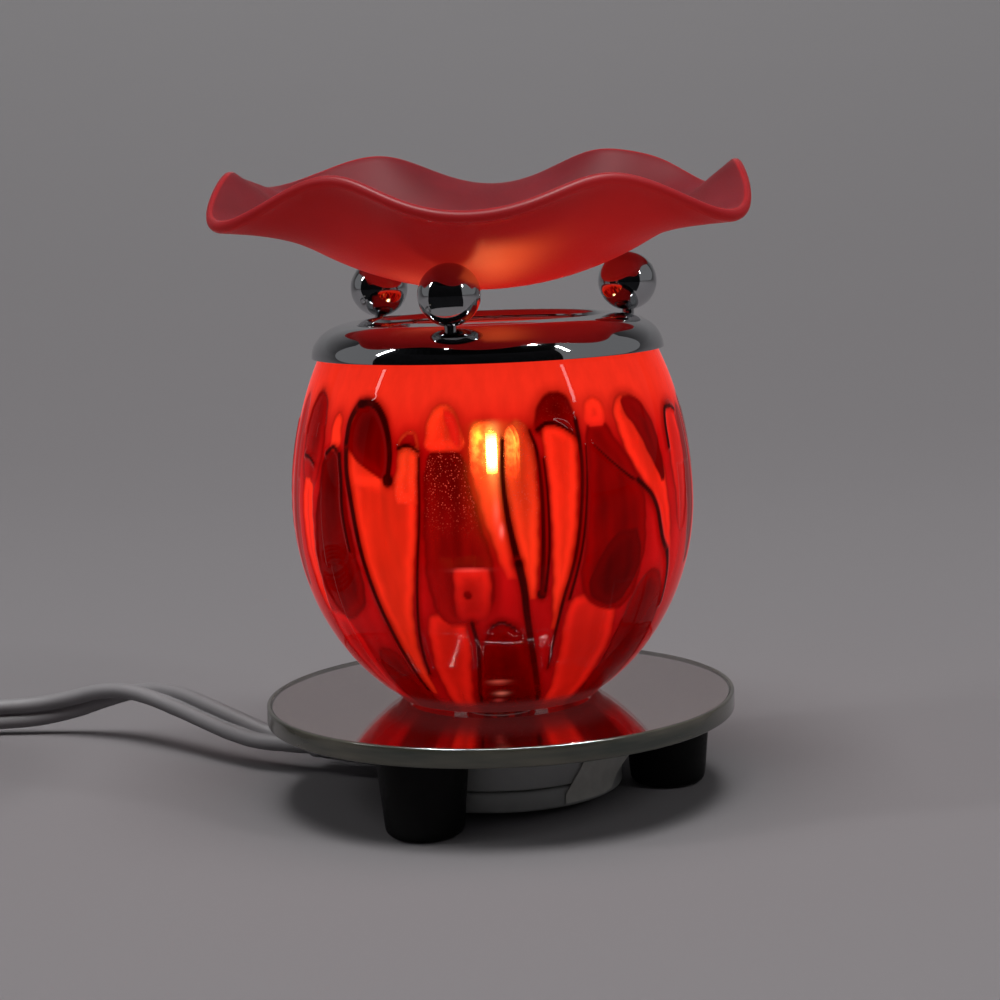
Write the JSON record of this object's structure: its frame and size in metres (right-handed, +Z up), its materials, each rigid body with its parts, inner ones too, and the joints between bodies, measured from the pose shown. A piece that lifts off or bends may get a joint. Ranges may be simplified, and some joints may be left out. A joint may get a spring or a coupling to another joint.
{
  "type": "essential oil burner",
  "caption": "Electric oil burner: wavy frosted red glass dish on balls over a chrome cap and a lit red glass jar, on a round mirror glass plate with black feet and a flat white cord.",
  "frame": {"origin": "under the middle of the lamp, on the surface it stands on; the cord isn't counted", "axes": "+Z up, the front, the side with a ball in the picture's middle, towards -Y"},
  "size_m": [0.2804, 0.1618, 0.1371],
  "materials": {
    "dish_glass": "frosted red",
    "jar_glass": "gloss, red with darker drips, lit from inside",
    "chrome": "polished",
    "mirror_glass": "polished, clear greenish edge",
    "foot_plastic": "satin black",
    "box_plastic": "satin white",
    "label_paper": "matt, blank",
    "steel": "zinc plated",
    "ceramic": "matt, unglazed",
    "brass": "bright",
    "bulb_quartz": "clear",
    "filament_wire": "tungsten, lit",
    "lead_sleeve": "satin sleeve",
    "cord_jacket": "satin white vinyl"
  },
  "bodies": {
    "base": {"jar": "jar_glass", "nipple": "chrome", "washer": "chrome", "collar_nut": "chrome", "top_nut": "chrome", "base_plate": "mirror_glass", "foot_1": "foot_plastic", "foot_2": "foot_plastic", "foot_3": "foot_plastic", "box_shell": "box_plastic", "box_cover": "box_plastic", "label": "label_paper", "box_nut": "steel", "holder_bracket": "steel", "holder_screw_1": "steel", "holder_screw_2": "steel", "cover_screw_1": "steel", "cover_screw_2": "steel", "cover_screw_3": "steel", "bulb_holder": "ceramic", "terminal_block": "ceramic", "holder_contact_1": "brass", "holder_contact_2": "brass", "terminal_screw_1": "brass", "terminal_screw_2": "brass", "terminal_screw_3": "brass", "terminal_screw_4": "brass", "plug_blade_1": "brass", "plug_blade_2": "brass", "lamp_lead_1": "lead_sleeve", "lamp_lead_2": "lead_sleeve", "cord_lead_1": "lead_sleeve", "cord_lead_2": "lead_sleeve", "strain_relief": "cord_jacket", "cord_run": "cord_jacket", "cord_coil": "cord_jacket", "cord_tail": "cord_jacket", "plug_body": "cord_jacket"},
    "bulb": {"bulb_glass": "bulb_quartz", "bulb_pinch": "bulb_quartz", "bulb_pin_1": "steel", "bulb_pin_2": "steel", "filament": "filament_wire"},
    "cap": {"lid": "chrome", "ball_front": "chrome", "ball_right": "chrome", "ball_left": "chrome", "ball_screw_front": "steel", "ball_screw_right": "steel", "ball_screw_left": "steel"},
    "dish": {"oil_dish": "dish_glass"}
  },
  "joints": [
    {"name": "cap_lift", "type": "slide", "parent": "base", "child": "cap", "axis": [0, 0, 1], "range_m": [0, 0.12]},
    {"name": "dish_lift", "type": "slide", "parent": "cap", "child": "dish", "axis": [0, 0, 1], "range_m": [0, 0.08]},
    {"name": "bulb_pull", "type": "slide", "parent": "base", "child": "bulb", "axis": [0, 0, 1], "range_m": [0, 0.01]}
  ]
}
